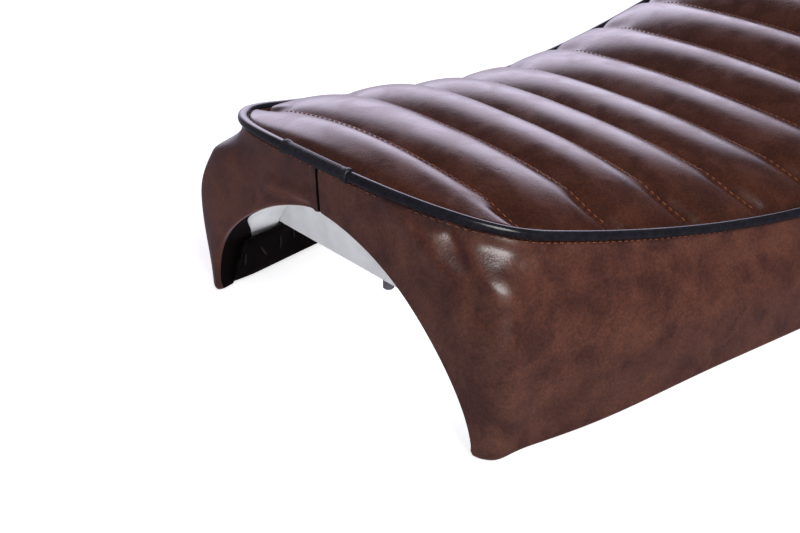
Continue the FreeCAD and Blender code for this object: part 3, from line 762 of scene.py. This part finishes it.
# Stage
# A white studio: a pale floor, one soft lamp, and a bright stretch of wall that the rolls mirror.
# The rest of the wall and the ceiling are dim, and the camera sees plain white behind the seat.


def lamp(name, energy, size, place, target):
    """Square area lamp at a place, turned so that it looks at a target."""
    light = bpy.data.lights.new(name, "AREA")
    light.energy = energy
    light.size = size
    obj = bpy.data.objects.new(name, light)
    bpy.context.scene.collection.objects.link(obj)
    obj.location = place
    aim = np.array(target) - np.array(place)
    obj.rotation_euler = (math.atan2(math.hypot(aim[0], aim[1]), -aim[2]), 0, math.atan2(-aim[0], aim[1]))


FLOOR = 6.0
floor_mesh = bpy.data.meshes.new("floor")
floor_corners = [(-FLOOR, -FLOOR, 0), (FLOOR, -FLOOR, 0), (FLOOR, FLOOR, 0), (-FLOOR, FLOOR, 0)]
floor_mesh.from_pydata(floor_corners, [], [(0, 1, 2, 3)])
floor = bpy.data.objects.new("floor", floor_mesh)
bpy.context.scene.collection.objects.link(floor)
floor_white = bpy.data.materials.new("floor_white")
floor_white.use_nodes = True
floor_shader = floor_white.node_tree.nodes["Principled BSDF"]
floor_shader.inputs["Base Color"].default_value = (0.85, 0.85, 0.85, 1)
floor_shader.inputs["Roughness"].default_value = 0.9
floor_shader.inputs["Emission Color"].default_value = (1, 1, 1, 1)
floor_shader.inputs["Emission Strength"].default_value = 0.75
floor_mesh.materials.append(floor_white)
floor.visible_glossy = False

lamp("key", energy=30, size=1.1, place=(0.5, 1.3, 1.5), target=(0.15, 0, 0.05))

world = bpy.data.worlds.new("studio")
bpy.context.scene.world = world
world.use_nodes = True
tree = world.node_tree
tree.nodes.clear()
direction = tree.nodes.new("ShaderNodeTexCoord")
parts = tree.nodes.new("ShaderNodeSeparateXYZ")
rise = tree.nodes.new("ShaderNodeMapRange")
rise.inputs["From Min"].default_value = -1.0
ceiling = tree.nodes.new("ShaderNodeValToRGB")
ceiling.color_ramp.interpolation = "EASE"
ceiling.color_ramp.elements[0].position = 0.40
ceiling.color_ramp.elements[0].color = (0.22, 0.22, 0.22, 1)
ceiling.color_ramp.elements[1].position = 0.60
ceiling.color_ramp.elements[1].color = (1, 1, 1, 1)
for place, value in ((0.68, 1.0), (0.82, 0.0)):
    stop = ceiling.color_ramp.elements.new(place)
    stop.color = (value, value, value, 1)
level_part = tree.nodes.new("ShaderNodeVectorMath")
level_part.operation = "MULTIPLY"
level_part.inputs[1].default_value = (1, 1, 0)
compass = tree.nodes.new("ShaderNodeVectorMath")
compass.operation = "NORMALIZE"
facing = tree.nodes.new("ShaderNodeVectorMath")
facing.operation = "DOT_PRODUCT"
facing.inputs[1].default_value = (-0.656, -0.755, 0)
behind = tree.nodes.new("ShaderNodeMapRange")
behind.interpolation_type = "SMOOTHSTEP"
behind.inputs["From Min"].default_value = 0.86
behind.inputs["From Max"].default_value = 0.97
wall = tree.nodes.new("ShaderNodeMath")
wall.operation = "MULTIPLY"
glow = tree.nodes.new("ShaderNodeMapRange")
glow.inputs["To Min"].default_value = 0.16
glow.inputs["To Max"].default_value = 3.1
studio = tree.nodes.new("ShaderNodeBackground")
studio.inputs["Color"].default_value = (0.86, 0.79, 1.0, 1)
white = tree.nodes.new("ShaderNodeBackground")
white.inputs["Color"].default_value = (1, 1, 1, 1)
path = tree.nodes.new("ShaderNodeLightPath")
seen_white = tree.nodes.new("ShaderNodeMath")
seen_white.operation = "MAXIMUM"
mix = tree.nodes.new("ShaderNodeMixShader")
output = tree.nodes.new("ShaderNodeOutputWorld")
tree.links.new(direction.outputs["Generated"], parts.inputs["Vector"])
tree.links.new(parts.outputs["Z"], rise.inputs["Value"])
tree.links.new(rise.outputs["Result"], ceiling.inputs["Fac"])
tree.links.new(direction.outputs["Generated"], level_part.inputs[0])
tree.links.new(level_part.outputs["Vector"], compass.inputs[0])
tree.links.new(compass.outputs["Vector"], facing.inputs[0])
tree.links.new(facing.outputs["Value"], behind.inputs["Value"])
tree.links.new(ceiling.outputs["Color"], wall.inputs[0])
tree.links.new(behind.outputs["Result"], wall.inputs[1])
tree.links.new(wall.outputs["Value"], glow.inputs["Value"])
tree.links.new(glow.outputs["Result"], studio.inputs["Strength"])
tree.links.new(path.outputs["Is Camera Ray"], seen_white.inputs[0])
tree.links.new(path.outputs["Is Transmission Ray"], seen_white.inputs[1])
tree.links.new(seen_white.outputs["Value"], mix.inputs["Fac"])
tree.links.new(studio.outputs["Background"], mix.inputs[1])
tree.links.new(white.outputs["Background"], mix.inputs[2])
tree.links.new(mix.outputs["Shader"], output.inputs["Surface"])

camera_data = bpy.data.cameras.new("camera")
camera_data.sensor_width = 36.0
camera_data.lens = 65.74
camera = bpy.data.objects.new("camera", camera_data)
bpy.context.scene.collection.objects.link(camera)
camera.location = (0.6677, 0.4765, 0.3766)
camera.rotation_euler = (math.radians(90 - 28.215), 0, math.radians(139.47))
bpy.context.scene.camera = camera
bpy.context.scene.view_settings.view_transform = "Standard"
